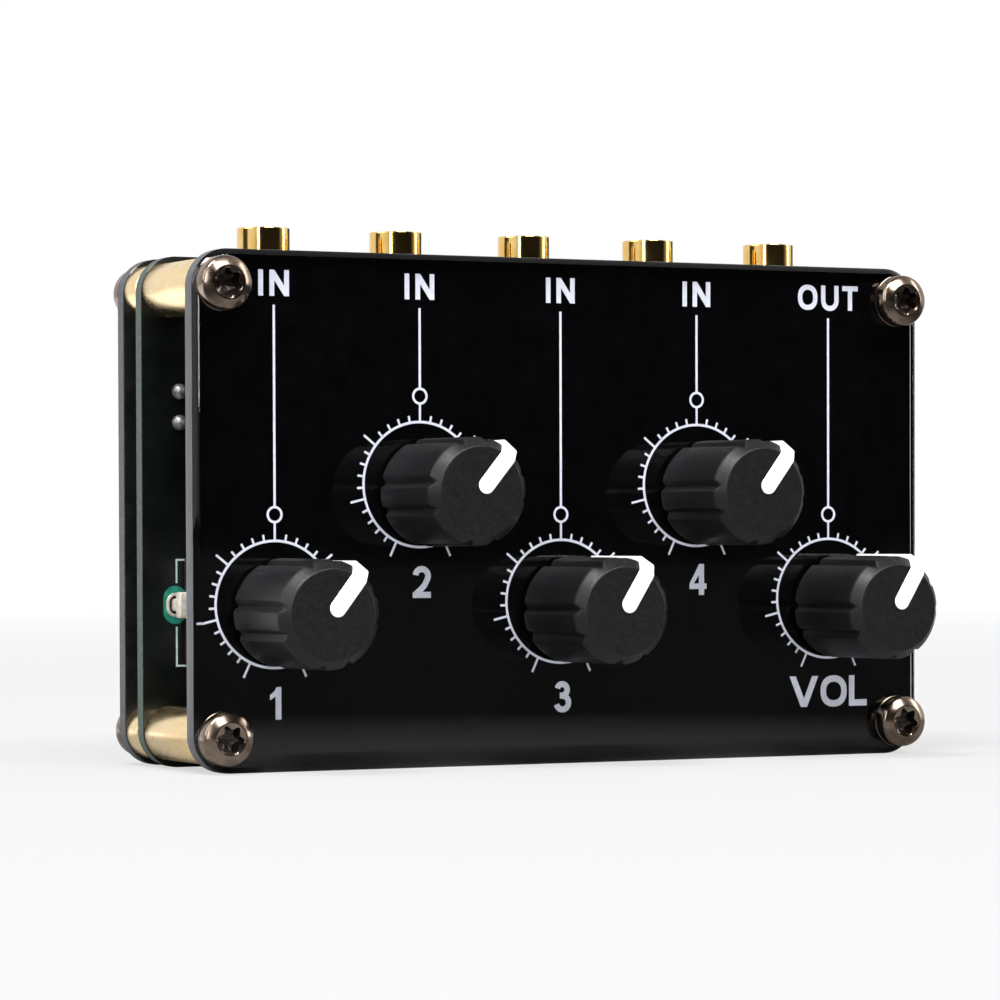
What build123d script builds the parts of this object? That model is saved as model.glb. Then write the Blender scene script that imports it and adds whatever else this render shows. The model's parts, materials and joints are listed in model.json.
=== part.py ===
from build123d import *

import os
from math import cos, radians, sin

# Pocket mixing console: a stack of clear front panel, circuit board and rear panel.
#
# Frame: +X to the right as the user faces the knobs, +Y into the depth, +Z up. The origin is
# the bottom centre of the bounding box: midway across the panels, midway between the knob faces
# and the rear screw heads, on the panels' bottom edges. All sizes are in millimetres.
# Depths are counted from the front face of the front panel, positive towards the back.

# panels and board: outline and thicknesses
panel_width = 88.7
panel_height = 54.8
corner_radius = 4.0
front_thickness = 2.5
front_chamfer = 0.6
ink_thickness = 0.1
board_thickness = 1.6
rear_thickness = 1.7

# spacers and screws
front_gap = 12.0
rear_gap = 3.5
spacer_radius = 2.9
spacer_chamfer = 0.5
spacer_bore = 1.5
screw_inset_x = 3.0
screw_inset_z = 3.7
screw_hole_radius = 1.6
shank_radius = 1.45
front_screw_length = 7.0
rear_screw_length = 9.4
head_radius = 2.85
head_side = 1.5
head_height = 2.4
head_flat_radius = 1.7
recess_depth = 1.3
recess_core = 1.22
recess_lobe = 0.4
recess_flute = 0.5

# knob layout: four channel knobs and one volume knob, in two staggered rows
knob_names = ["1", "2", "3", "4", "volume"]
knob_pitch = 17.0
knob_array_x = -0.65
lower_row_z = 16.75
row_rise = 12.65
pointer_angles = [38.0, 40.0, 32.0, 37.0, 31.0]  # clockwise from straight up

# knob
knob_gap = 0.65
knob_face = 13.25
crown_height = 1.2
knob_base_radius = 5.75
knob_shoulder_radius = 5.7
knob_face_radius = 4.72
groove_depth = 0.55
groove_width = 1.1
rib_angle = 45.0
rib_half_angle = 15.5
hub_radius = 3.9
skirt_radius = 4.5
skirt_depth = 8.5
knob_bore_radius = 3.03
knob_bore_flat = 1.5
knob_bore_reach = 9.3

# pointer insert
pointer_width = 1.9
pointer_proud = 0.1
pointer_face_radius = 4.85
pointer_shoulder = 12.0
pointer_side_radius = 6.35
pointer_inner_radius = 5.1
pointer_start = -0.1
pointer_thickness = 0.9
pointer_round = 0.85
pointer_bend = 0.4

# potentiometer
shaft_radius = 3.0
shaft_flat = 1.47
shaft_reach = 9.1
shaft_hole_radius = 3.7
pot_width = 9.8
pot_height = 11.4
pot_wafer_thickness = 1.2
pot_cover_depth = 4.8
pot_cavity_radius = 4.45
pot_cavity_depth = 3.4
bushing_radius = 3.4
bushing_length = 2.0
bushing_bore = 3.05
rotor_radius = 4.0
rotor_thickness = 1.3
rotor_gap = 0.45
track_outer = 4.2
track_inner = 2.4
track_thickness = 0.25
pin_radius = 0.4
pin_pitch = 2.5
pin_drop = 4.9
lug_x = 5.95
lug_rise = 0.7
lug_thickness = 0.8
lug_leg_width = 1.4
lug_arm_width = 2.6
lug_arm = 0.8
lug_slot_width = 1.5
lug_slot_length = 2.1

# jack
jack_pitch = 15.7
jack_array_x = -0.3
jack_axis_height = 3.7
jack_width = 10.0
jack_depth = 7.2
jack_length = 12.0
jack_set_back = 0.3
ferrule_radius = 2.85
ferrule_bore = 1.8
ferrule_stand = 3.0
ferrule_seat = 6.2
ferrule_clearance = 0.04
ferrule_chamfer = 0.2
contact_chamber_radius = 2.45
contact_chamber_length = 4.6
contact_offset = 2.0
contact_thickness = 0.3
contact_width = 1.2
jack_pin_x = 2.5
jack_pin_low = 10.0
jack_pin_high = 4.5

# soldered joints and small parts on the board
hole_radius = 0.5
lead_length = 1.2
fillet_radius = 0.95
fillet_height = 0.9
link_x = -40.0
link_low_z = 37.0
link_high_z = 40.35
link_wire_radius = 0.3
link_stand = 1.2
link_bend = 0.6
link_collar = 0.1
resistor_length = 2.0
resistor_width = 1.25
resistor_height = 0.5
resistor_row_z = 37.0

# stack, as depths behind the front face
ink_depth = front_thickness
standoff_depth = ink_depth + ink_thickness
board_depth = standoff_depth + front_gap
board_back = board_depth + board_thickness
rear_depth = board_back + rear_gap
rear_back = rear_depth + rear_thickness
wafer_depth = board_depth - pot_wafer_thickness
cover_depth = wafer_depth - pot_cover_depth
jack_axis_depth = board_depth - jack_axis_height
jack_front_depth = board_depth - jack_depth
lead_end_depth = board_back + lead_length

front_y = (knob_face + pointer_proud - rear_back - head_height) / 2
panel_middle = (0, panel_height / 2)
screw_points = [
    (side * (panel_width / 2 - screw_inset_x), z)
    for side in (-1, 1)
    for z in (screw_inset_z, panel_height - screw_inset_z)
]
knob_points = [
    (knob_array_x + (i - 2) * knob_pitch, lower_row_z + (i % 2) * row_rise)
    for i in range(len(knob_names))
]
jack_points = [jack_array_x + (i - 2) * jack_pitch for i in range(len(knob_names))]
jack_base_z = panel_height - jack_set_back - jack_length


def facing(depth):
    """Plane parallel to the panels at a depth, local x along X, local y along Z."""
    return Plane.XZ.offset(-(front_y + depth))


def save(part, name):
    """Label a finished piece and write its file."""
    part.label = name
    export_step(part, f"parts/{name}.step")


def pot_pin_points():
    """Where the three terminals of every potentiometer pass the board."""
    return [(x + i * pin_pitch, z - pin_drop) for x, z in knob_points for i in (-1, 0, 1)]


def lug_points():
    """Where the two mounting lugs of every potentiometer pass the board."""
    return [(x + side * lug_x, z + lug_rise) for x, z in knob_points for side in (-1, 1)]


def jack_pin_points():
    """Where the three terminals of every jack pass the board."""
    points = []
    for x in jack_points:
        points += [(x - jack_pin_x, jack_base_z + jack_pin_low)]
        points += [(x + jack_pin_x, jack_base_z + jack_pin_low)]
        points += [(x, jack_base_z + jack_pin_high)]
    return points


os.makedirs("parts", exist_ok=True)

# clear front panel with a chamfered front edge
with BuildPart() as front_panel:
    with BuildSketch(facing(0)):
        with Locations(panel_middle):
            RectangleRounded(panel_width, panel_height, corner_radius)
    extrude(amount=-front_thickness)
    chamfer(front_panel.faces().sort_by(Axis.Y)[0].edges(), front_chamfer)
    with BuildSketch(facing(0)):
        with Locations(*knob_points):
            Circle(shaft_hole_radius)
        with Locations(*screw_points):
            Circle(screw_hole_radius)
    extrude(amount=-front_thickness, mode=Mode.SUBTRACT)
save(front_panel.part, "front_panel")


def flat_plate(depth, thickness, shaft_holes=False):
    """A plate with the panels' outline and the four screw holes."""
    with BuildPart() as plate:
        with BuildSketch(facing(depth)):
            with Locations(panel_middle):
                RectangleRounded(panel_width, panel_height, corner_radius)
            with Locations(*screw_points):
                Circle(screw_hole_radius, mode=Mode.SUBTRACT)
            if shaft_holes:
                with Locations(*knob_points):
                    Circle(shaft_hole_radius, mode=Mode.SUBTRACT)
        extrude(amount=-thickness)
    return plate.part


# the printed ink behind the clear panel, and the rear panel
save(flat_plate(ink_depth, ink_thickness, shaft_holes=True), "back_print")
save(flat_plate(rear_depth, rear_thickness), "rear_panel")

# circuit board with every hole that a lead or a lug passes
board_blank = flat_plate(board_depth, board_thickness)
with BuildPart() as circuit_board:
    add(board_blank)
    with BuildSketch(facing(board_depth)):
        with Locations(*pot_pin_points(), *jack_pin_points()):
            Circle(hole_radius)
        with Locations((link_x, link_low_z), (link_x, link_high_z)):
            Circle(hole_radius)
        with Locations(*lug_points()):
            SlotOverall(lug_slot_length, lug_slot_width, rotation=90)
    extrude(amount=-board_thickness, mode=Mode.SUBTRACT)
save(circuit_board.part, "circuit_board")

# long brass standoffs in front of the board
with BuildPart() as front_standoffs:
    with BuildSketch(facing(standoff_depth)):
        with Locations(*screw_points):
            Circle(spacer_radius)
            Circle(spacer_bore, mode=Mode.SUBTRACT)
    extrude(amount=-front_gap)
save(front_standoffs.part, "front_standoffs")

# short brass spacers behind the board, chamfered where they meet it
with BuildPart() as rear_spacers:
    with BuildSketch(facing(board_back)):
        with Locations(*screw_points):
            Circle(spacer_radius)
    extrude(amount=-rear_gap)
    chamfer(rear_spacers.faces().group_by(Axis.Y)[0].edges(), spacer_chamfer)
    with BuildSketch(facing(board_back)):
        with Locations(*screw_points):
            Circle(spacer_bore)
    extrude(amount=-rear_gap, mode=Mode.SUBTRACT)
save(rear_spacers.part, "rear_spacers")


def screw(point, seat_depth, outward, length):
    """Pan-head screw with a six-lobe recess; outward is -1 for a front screw, 1 for a rear one."""
    axis_plane = Plane(
        origin=(point[0], front_y + seat_depth, point[1]),
        x_dir=(1, 0, 0),
        z_dir=(0, 0, -outward),
    )
    top_plane = Plane(
        origin=(point[0], front_y + seat_depth + outward * head_height, point[1]),
        x_dir=(0, 0, 1),
        z_dir=(0, outward, 0),
    )
    with BuildPart() as body:
        with BuildSketch(axis_plane):
            with BuildLine():
                Line((0, 0), (0, -head_height))
                Line((0, -head_height), (head_flat_radius, -head_height))
                SagittaArc((head_flat_radius, -head_height), (head_radius, -head_side), -0.18)
                Polyline(
                    (head_radius, -head_side),
                    (head_radius, 0),
                    (shank_radius, 0),
                    (shank_radius, length),
                    (0, length),
                    (0, 0),
                )
            make_face()
        revolve(axis=Axis(axis_plane.origin, (0, 1, 0)))
        with BuildSketch(top_plane):
            Circle(recess_core)
            with PolarLocations(recess_core, 6):
                Circle(recess_lobe)
            with PolarLocations(recess_core + recess_flute, 6, start_angle=30):
                Circle(recess_flute, mode=Mode.SUBTRACT)
        extrude(amount=-recess_depth, mode=Mode.SUBTRACT)
    return body.part


for name, seat, outward, length in (
    ("front_screws", 0, -1, front_screw_length),
    ("rear_screws", rear_back, 1, rear_screw_length),
):
    save(Compound([screw(point, seat, outward, length) for point in screw_points]), name)


def knob_frame(point, angle):
    """Plane on the front face at a knob's axis: normal towards the user, local y along the pointer."""
    turn = radians(angle)
    return Plane(
        origin=(point[0], front_y, point[1]),
        x_dir=(cos(turn), 0, -sin(turn)),
        z_dir=(0, -1, 0),
    )


def radial_plane(frame):
    """Plane through a knob's axis: local x along the pointer, local y towards the user."""
    return Plane(origin=frame.origin, x_dir=frame.y_dir, z_dir=frame.x_dir)


def make_pointer(frame):
    """White insert that runs over the face, the crown and the side of a knob."""
    top = knob_face + pointer_proud
    under = top - pointer_thickness
    with BuildPart() as body:
        with BuildSketch(radial_plane(frame)):
            Polygon(
                (pointer_start, top),
                (pointer_face_radius, top),
                (pointer_side_radius, pointer_shoulder),
                (pointer_side_radius, knob_gap),
                (pointer_inner_radius, knob_gap),
                (pointer_inner_radius, under - pointer_bend),
                (pointer_inner_radius - pointer_bend, under),
                (pointer_start, under),
                align=None,
            )
        extrude(amount=pointer_width / 2, both=True)
        across = Axis(frame.origin, frame.x_dir)
        along = Axis(frame.origin, frame.y_dir)
        corner = body.edges().filter_by(across).group_by(along)[-1].sort_by(Axis.Y)[0]
        fillet(corner, pointer_bend)
        inner = body.edges().filter_by(Axis.Y).group_by(along)[0]
        fillet(inner, pointer_round)
    return body.part


def make_knob(frame, pointer):
    """Grooved knob with a bevelled crown, a D-shaped bore and a slot for its pointer."""
    shoulder = knob_face - crown_height
    with BuildPart() as body:
        with BuildSketch(radial_plane(frame)):
            Polygon(
                (0, knob_gap),
                (knob_base_radius, knob_gap),
                (knob_shoulder_radius, shoulder),
                (knob_face_radius, knob_face),
                (0, knob_face),
                align=None,
            )
        revolve(axis=Axis(frame.origin, frame.z_dir))
        with BuildSketch(frame.offset(knob_gap)):
            Circle(skirt_radius)
            Circle(hub_radius, mode=Mode.SUBTRACT)
        extrude(amount=skirt_depth, mode=Mode.SUBTRACT)
        with BuildSketch(frame.offset(knob_gap)):
            Circle(knob_bore_radius)
            with Locations((0, knob_bore_flat + knob_bore_radius)):
                Rectangle(2 * knob_bore_radius, 2 * knob_bore_radius, mode=Mode.SUBTRACT)
        extrude(amount=knob_bore_reach - knob_gap, mode=Mode.SUBTRACT)
        with BuildSketch(frame.offset(knob_gap)):
            for side in (-1, 1):
                with PolarLocations(0, 4, start_angle=rib_angle + side * rib_half_angle):
                    Polygon(
                        (knob_base_radius - groove_depth, 0),
                        (knob_base_radius + groove_depth, -groove_width),
                        (knob_base_radius + groove_depth, groove_width),
                        align=None,
                    )
        extrude(amount=knob_face - knob_gap, mode=Mode.SUBTRACT)
        add(pointer, mode=Mode.SUBTRACT)
    return body.part


def make_shaft(frame):
    """Control shaft with its D-shaped end and the wiper carrier inside the potentiometer."""
    rotor_front = cover_depth + pot_cover_depth - pot_cavity_depth + rotor_gap
    with BuildPart() as body:
        with BuildSketch(frame.offset(-rotor_front)):
            Circle(shaft_radius)
        extrude(amount=rotor_front - knob_gap)
        with BuildSketch(frame.offset(-knob_gap)):
            Circle(shaft_radius)
            with Locations((0, shaft_flat + shaft_radius)):
                Rectangle(2 * shaft_radius, 2 * shaft_radius, mode=Mode.SUBTRACT)
        extrude(amount=shaft_reach + knob_gap)
        with BuildSketch(frame.offset(-rotor_front)):
            Circle(rotor_radius)
        extrude(amount=-rotor_thickness)
    return body.part


def make_pot_cover(point):
    """Potentiometer cover with its plain bushing and the chamber of the wiper carrier."""
    with BuildPart() as body:
        with BuildSketch(facing(cover_depth)):
            with Locations(point):
                Rectangle(pot_width, pot_height)
        extrude(amount=-pot_cover_depth)
        fillet(body.edges().filter_by(Axis.Y), 0.5)
        with BuildSketch(facing(cover_depth)):
            with Locations(point):
                Circle(bushing_radius)
        extrude(amount=bushing_length)
        with BuildSketch(facing(cover_depth - bushing_length)):
            with Locations(point):
                Circle(bushing_bore)
        extrude(amount=-(bushing_length + pot_cover_depth), mode=Mode.SUBTRACT)
        with BuildSketch(facing(wafer_depth)):
            with Locations(point):
                Circle(pot_cavity_radius)
        extrude(amount=pot_cavity_depth, mode=Mode.SUBTRACT)
    return body.part


def make_pot_wafer(point):
    """Base wafer of a potentiometer, flat on the board."""
    with BuildPart() as body:
        with BuildSketch(facing(wafer_depth)):
            with Locations(point):
                Rectangle(pot_width, pot_height)
        extrude(amount=-pot_wafer_thickness)
    return body.part


for name, point, angle in zip(knob_names, knob_points, pointer_angles):
    frame = knob_frame(point, angle)
    pointer = make_pointer(frame)
    save(pointer, f"pointer_{name}")
    save(make_knob(frame, pointer), f"knob_{name}")
    save(make_shaft(frame), f"shaft_{name}")
    save(make_pot_cover(point), f"pot_cover_{name}")
    save(make_pot_wafer(point), f"pot_wafer_{name}")

# resistive tracks, one ring in each potentiometer
with BuildPart() as pot_tracks:
    with BuildSketch(facing(wafer_depth)):
        with Locations(*knob_points):
            Circle(track_outer)
            Circle(track_inner, mode=Mode.SUBTRACT)
    extrude(amount=track_thickness)
save(pot_tracks.part, "pot_tracks")

# mounting lugs: an arm out of the cover's side and a leg through the board
lugs = []
for x, z in knob_points:
    for side in (-1, 1):
        near = pot_width / 2
        far = lug_x + lug_thickness / 2
        with BuildPart() as lug:
            with BuildSketch(facing(wafer_depth - lug_arm)):
                with Locations((x + side * (near + far) / 2, z + lug_rise)):
                    Rectangle(far - near, lug_arm_width)
            extrude(amount=-lug_arm)
            with BuildSketch(facing(wafer_depth - lug_arm)):
                with Locations((x + side * lug_x, z + lug_rise)):
                    Rectangle(lug_thickness, lug_leg_width)
            extrude(amount=-(lead_end_depth - wafer_depth + lug_arm))
        lugs.append(lug.part)
save(Compound(lugs), "pot_lugs")


def soldered_pins(points):
    """Leads that start on the board's front face, with a solder cone on its back."""
    pins = []
    for x, z in points:
        with BuildPart() as pin:
            with BuildSketch(facing(board_depth)):
                with Locations((x, z)):
                    Circle(pin_radius)
            extrude(amount=-(lead_end_depth - board_depth))
            with BuildSketch(facing(board_back)):
                with Locations((x, z)):
                    Circle(fillet_radius)
            with BuildSketch(facing(board_back + fillet_height)):
                with Locations((x, z)):
                    Circle(pin_radius)
            loft()
        pins.append(pin.part)
    return Compound(pins)


save(soldered_pins(pot_pin_points()), "pot_terminals")
save(soldered_pins(jack_pin_points()), "jack_terminals")


def make_jack_body(x):
    """Moulded jack body: a seat for the ferrule and a chamber for the contact."""
    top = Plane.XY.offset(jack_base_z + jack_length)
    middle = (x, front_y + jack_front_depth + jack_depth / 2)
    axis = (x, front_y + jack_axis_depth)
    with BuildPart() as body:
        with BuildSketch(top):
            with Locations(middle):
                Rectangle(jack_width, jack_depth)
        extrude(amount=-jack_length)
        fillet(body.edges().filter_by(Axis.Z), 0.4)
        with BuildSketch(top):
            with Locations(axis):
                Circle(ferrule_radius + ferrule_clearance)
        extrude(amount=-ferrule_seat, mode=Mode.SUBTRACT)
        with BuildSketch(top.offset(-ferrule_seat)):
            with Locations(axis):
                Circle(contact_chamber_radius)
        extrude(amount=-contact_chamber_length, mode=Mode.SUBTRACT)
    return body.part


def make_ferrule(x):
    """Plated sleeve that guides the plug and stands over the panels' top edges."""
    seat = Plane.XY.offset(jack_base_z + jack_length - ferrule_seat)
    with BuildPart() as body:
        with BuildSketch(seat):
            with Locations((x, front_y + jack_axis_depth)):
                Circle(ferrule_radius)
                Circle(ferrule_bore, mode=Mode.SUBTRACT)
        extrude(amount=ferrule_seat + jack_set_back + ferrule_stand)
        chamfer(body.faces().sort_by(Axis.Z)[-1].edges(), ferrule_chamfer)
    return body.part


def make_contact(x):
    """Tip contact: a strip along the chamber wall."""
    floor = jack_base_z + jack_length - ferrule_seat - contact_chamber_length
    with BuildPart() as body:
        with BuildSketch(Plane.XY.offset(floor)):
            with Locations((x, front_y + jack_axis_depth + contact_offset + contact_thickness / 2)):
                Rectangle(contact_width, contact_thickness)
        extrude(amount=contact_chamber_length)
    return body.part


for name, x in zip(knob_names, jack_points):
    label = "output" if name == "volume" else f"input_{name}"
    save(make_jack_body(x), f"jack_body_{label}")
    save(make_ferrule(x), f"jack_ferrule_{label}")
save(Compound([make_contact(x) for x in jack_points]), "jack_contacts")

# wire link: a staple from behind, soldered on the board's front
link_front_y = front_y + board_depth - link_stand
link_back_y = front_y + board_back + link_stand
with BuildPart() as ground_link:
    with BuildLine() as staple:
        FilletPolyline(
            (link_x, link_front_y, link_low_z),
            (link_x, link_back_y, link_low_z),
            (link_x, link_back_y, link_high_z),
            (link_x, link_front_y, link_high_z),
            radius=link_bend,
        )
    with BuildSketch(facing(board_depth - link_stand)):
        with Locations((link_x, link_low_z)):
            Circle(link_wire_radius)
    sweep()
    for z in (link_low_z, link_high_z):
        with BuildSketch(facing(board_depth)):
            with Locations((link_x, z)):
                Circle(fillet_radius)
        with BuildSketch(facing(board_depth - fillet_height)):
            with Locations((link_x, z)):
                Circle(link_wire_radius + link_collar)
        loft()
save(ground_link.part, "ground_link")

# chip resistors that sum the channels, on the back of the board
with BuildPart() as mixing_resistors:
    with BuildSketch(facing(board_back)):
        for x in jack_points:
            with Locations((x - jack_pitch / 4, resistor_row_z), (x + jack_pitch / 4, resistor_row_z)):
                Rectangle(resistor_width, resistor_length)
    extrude(amount=-resistor_height)
save(mixing_resistors.part, "mixing_resistors")
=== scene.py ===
import json
from math import cos, hypot, pi, radians, sin, sqrt

import bpy
import bmesh
from mathutils import Euler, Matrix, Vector
from mathutils.geometry import tessellate_polygon


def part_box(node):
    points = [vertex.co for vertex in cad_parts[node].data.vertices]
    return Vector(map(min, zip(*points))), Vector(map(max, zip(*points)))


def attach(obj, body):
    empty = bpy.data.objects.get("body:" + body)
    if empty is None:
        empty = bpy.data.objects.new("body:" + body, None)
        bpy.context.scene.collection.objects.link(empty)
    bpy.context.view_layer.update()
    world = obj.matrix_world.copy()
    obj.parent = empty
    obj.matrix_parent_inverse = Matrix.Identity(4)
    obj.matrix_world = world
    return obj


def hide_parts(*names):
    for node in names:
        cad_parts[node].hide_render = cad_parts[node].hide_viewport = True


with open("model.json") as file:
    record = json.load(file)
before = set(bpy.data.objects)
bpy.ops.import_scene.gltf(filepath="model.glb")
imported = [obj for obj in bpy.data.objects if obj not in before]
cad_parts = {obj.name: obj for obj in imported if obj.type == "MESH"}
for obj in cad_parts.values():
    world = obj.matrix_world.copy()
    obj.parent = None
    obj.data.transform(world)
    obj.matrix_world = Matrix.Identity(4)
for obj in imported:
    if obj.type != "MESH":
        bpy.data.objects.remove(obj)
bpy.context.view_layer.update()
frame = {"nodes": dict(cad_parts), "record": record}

record = frame["record"]

# ---------------------------------------------------------------- places, all in millimetres


def span(node):
    """Lowest and highest corners of a CAD node, in millimetres."""
    low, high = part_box(node)
    return [c * 1000 for c in low], [c * 1000 for c in high]


panel_low, panel_high = span("front_panel")
board_low, board_high = span("circuit_board")
rear_low, rear_high = span("rear_panel")
PRINT_BACK = span("back_print")[1][1]
WIDTH = panel_high[0] - panel_low[0]
HEIGHT = panel_high[2] - panel_low[2]
CORNER = 4.0
SCREW_FROM_SIDE, SCREW_FROM_EDGE = 3.0, 3.7
HALF_TRAVEL = 150.0  # degrees that each control turns either way from upright
FRONT, BACK = panel_low[1], panel_high[1]
BOARD_FRONT, BOARD_BACK = board_low[1], board_high[1]
REAR_FRONT, REAR_BACK = rear_low[1], rear_high[1]
screw_x = WIDTH / 2 - SCREW_FROM_SIDE
SCREWS = [(sx * screw_x, z) for sx in (-1, 1) for z in (SCREW_FROM_EDGE, HEIGHT - SCREW_FROM_EDGE)]
# each knob's name, its axis on the front panel and its pointer's angle at rest, clockwise from upright
KNOBS = []
for joint in record["behaviour"]["joints"]:
    x, _, z = (c * 1000 for c in joint["pos_m"])
    KNOBS.append((joint["child"].split("_")[1], x, z, -(joint["range_deg"][0] + HALF_TRAVEL)))
JACKS = ["input_1", "input_2", "input_3", "input_4", "output"]

# ---------------------------------------------------------------- node materials


def tree(name):
    """A new material with a Principled shader on its output."""
    mat = bpy.data.materials.new(name)
    mat.use_nodes = True
    nodes, links = mat.node_tree.nodes, mat.node_tree.links
    nodes.clear()
    out = nodes.new("ShaderNodeOutputMaterial")
    bsdf = nodes.new("ShaderNodeBsdfPrincipled")
    links.new(bsdf.outputs[0], out.inputs["Surface"])
    return mat, nodes, links, bsdf


def noise(nodes, links, stretch, scale, detail=4.0, rough=0.55):
    """Noise in object space; stretch squeezes the pattern along each axis."""
    coord = nodes.new("ShaderNodeTexCoord")
    place = nodes.new("ShaderNodeMapping")
    place.inputs["Scale"].default_value = stretch
    tex = nodes.new("ShaderNodeTexNoise")
    tex.inputs["Scale"].default_value = scale
    tex.inputs["Detail"].default_value = detail
    tex.inputs["Roughness"].default_value = rough
    links.new(coord.outputs["Object"], place.inputs["Vector"])
    links.new(place.outputs["Vector"], tex.inputs["Vector"])
    return tex.outputs["Fac"]


def blend_colour(nodes, links, factor, low, high, start=0.35, stop=0.65):
    """Colour that runs from low to high over the middle of the factor."""
    ramp = nodes.new("ShaderNodeValToRGB")
    ramp.color_ramp.elements[0].position = start
    ramp.color_ramp.elements[1].position = stop
    ramp.color_ramp.elements[0].color = (*low, 1)
    ramp.color_ramp.elements[1].color = (*high, 1)
    links.new(factor, ramp.inputs["Fac"])
    return ramp.outputs["Color"]


def value_range(nodes, links, factor, low, high, start=0.3, stop=0.7, smooth=False):
    """Number that runs from low to high while the factor runs from start to stop."""
    node = nodes.new("ShaderNodeMapRange")
    if smooth:
        node.interpolation_type = "SMOOTHSTEP"
    node.inputs["From Min"].default_value = start
    node.inputs["From Max"].default_value = stop
    node.inputs["To Min"].default_value = low
    node.inputs["To Max"].default_value = high
    links.new(factor, node.inputs["Value"])
    return node.outputs["Result"]


def combined(nodes, links, operation, first, second):
    """Math node over two numbers."""
    node = nodes.new("ShaderNodeMath")
    node.operation = operation
    links.new(first, node.inputs[0])
    links.new(second, node.inputs[1])
    return node.outputs[0]


def part_of(nodes, links, vector, axis):
    """One component of a vector."""
    node = nodes.new("ShaderNodeSeparateXYZ")
    links.new(vector, node.inputs[0])
    return node.outputs[axis]


def along(nodes, links, vector, direction):
    """How far a vector points along a direction."""
    node = nodes.new("ShaderNodeVectorMath")
    node.operation = "DOT_PRODUCT"
    node.inputs[1].default_value = Vector(direction)
    links.new(vector, node.inputs[0])
    return node.outputs["Value"]


def mixed(nodes, links, factor, first, second):
    """Shader that is the first where the factor is 0, and the second where it is 1."""
    node = nodes.new("ShaderNodeMixShader")
    links.new(factor, node.inputs["Fac"])
    links.new(first, node.inputs[1])
    links.new(second, node.inputs[2])
    return node.outputs[0]


def node_of(nodes, kind):
    """The only node of a kind."""
    return next(n for n in nodes if n.type == kind)


def pass_light(mat):
    """Lets shadow and diffuse rays straight through, so that the light reaches what lies behind."""
    nodes, links = mat.node_tree.nodes, mat.node_tree.links
    ray = nodes.new("ShaderNodeLightPath")
    clear = nodes.new("ShaderNodeBsdfTransparent")
    either = combined(nodes, links, "MAXIMUM", ray.outputs["Is Shadow Ray"], ray.outputs["Is Diffuse Ray"])
    solid = node_of(nodes, "BSDF_PRINCIPLED")
    shader = mixed(nodes, links, either, solid.outputs[0], clear.outputs[0])
    links.new(shader, node_of(nodes, "OUTPUT_MATERIAL").inputs["Surface"])


def finish_of(name, low, high, rough, metal=0.0, stretch=(1, 1, 1), scale=900.0, bump=0.0, bump_scale=4000.0,
              bump_stretch=None, depth=0.00002, detail=4.0, **sockets):
    """Material whose colour runs from low to high, with a varying roughness and a fine relief."""
    mat, nodes, links, bsdf = tree(name)
    tone = noise(nodes, links, stretch, scale, detail)
    links.new(blend_colour(nodes, links, tone, low, high), bsdf.inputs["Base Color"])
    gloss = noise(nodes, links, stretch, scale * 0.43, 3.0)
    links.new(value_range(nodes, links, gloss, rough[0], rough[1]), bsdf.inputs["Roughness"])
    if bump:
        relief = noise(nodes, links, bump_stretch or stretch, bump_scale, 5.0)
        node = nodes.new("ShaderNodeBump")
        node.inputs["Strength"].default_value = bump
        node.inputs["Distance"].default_value = depth
        links.new(relief, node.inputs["Height"])
        links.new(node.outputs["Normal"], bsdf.inputs["Normal"])
    bsdf.inputs["Metallic"].default_value = metal
    for key, value in sockets.items():
        bsdf.inputs[key.replace("_", " ")].default_value = value
    return mat


ACRYLIC = finish_of("acrylic_polished", (0.93, 0.95, 0.95), (0.97, 0.98, 0.98), (0.012, 0.03), scale=60,
                    Transmission_Weight=1.0, IOR=1.49)
pass_light(ACRYLIC)
ACRYLIC_EDGE = finish_of("acrylic_sawn_edge", (0.055, 0.056, 0.062), (0.10, 0.102, 0.112), (0.36, 0.48),
                         stretch=(1, 6, 0.25), scale=900, bump=0.35, bump_scale=2600)
# black of the print, also used for the painted shade wall inside the panel's edge
INK_BLACK_AND_EDGE_SHADE = finish_of("print_black", (0.0009, 0.0009, 0.0011), (0.0016, 0.0016, 0.0020), (0.5, 0.6),
                      scale=400, Specular_IOR_Level=0.0)
INK_LEGEND = finish_of("print_legend", (0.60, 0.615, 0.70), (0.67, 0.685, 0.775), (0.45, 0.6), scale=1500,
                       bump=0.2, bump_scale=9000, Specular_IOR_Level=0.1)
LACQUER = finish_of("board_lacquer_black", (0.006, 0.007, 0.007), (0.012, 0.013, 0.013), (0.22, 0.34),
                    scale=500, bump=0.12, bump_scale=1800, Coat_Weight=0.15)
MASK = finish_of("solder_mask_dark", (0.0016, 0.0026, 0.0022), (0.0035, 0.0055, 0.0045), (0.28, 0.42),
                 scale=380, bump=0.15, bump_scale=1500, Coat_Weight=0.1)
LAMINATE = finish_of("laminate_edge", (0.024, 0.036, 0.030), (0.078, 0.104, 0.09), (0.55, 0.75),
                     stretch=(1, 5, 1), scale=1600, bump=0.5, bump_scale=5200, depth=0.00004)
LAMINATE_GREY = finish_of("laminate_edge_grey", (0.038, 0.040, 0.046), (0.090, 0.094, 0.106), (0.5, 0.7),
                          stretch=(1, 5, 1), scale=1600, bump=0.5, bump_scale=5200, depth=0.00004)
SILK = finish_of("silkscreen", (0.48, 0.60, 0.60), (0.62, 0.74, 0.73), (0.5, 0.65), scale=2500, bump=0.3,
                 bump_scale=8000)
PAD_TEAL = finish_of("bare_pad_teal", (0.004, 0.17, 0.12), (0.012, 0.27, 0.19), (0.3, 0.45), scale=1800,
                     bump=0.2, bump_scale=5000, Coat_Weight=0.2)
BRASS = finish_of("brass_turned", (0.94, 0.70, 0.37), (1.0, 0.80, 0.48), (0.22, 0.34), metal=1.0,
                  stretch=(1.6, 0.5, 1.6), scale=700, bump=0.05, bump_scale=1600,
                  bump_stretch=(1.2, 0.4, 1.2), depth=0.00001)
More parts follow.
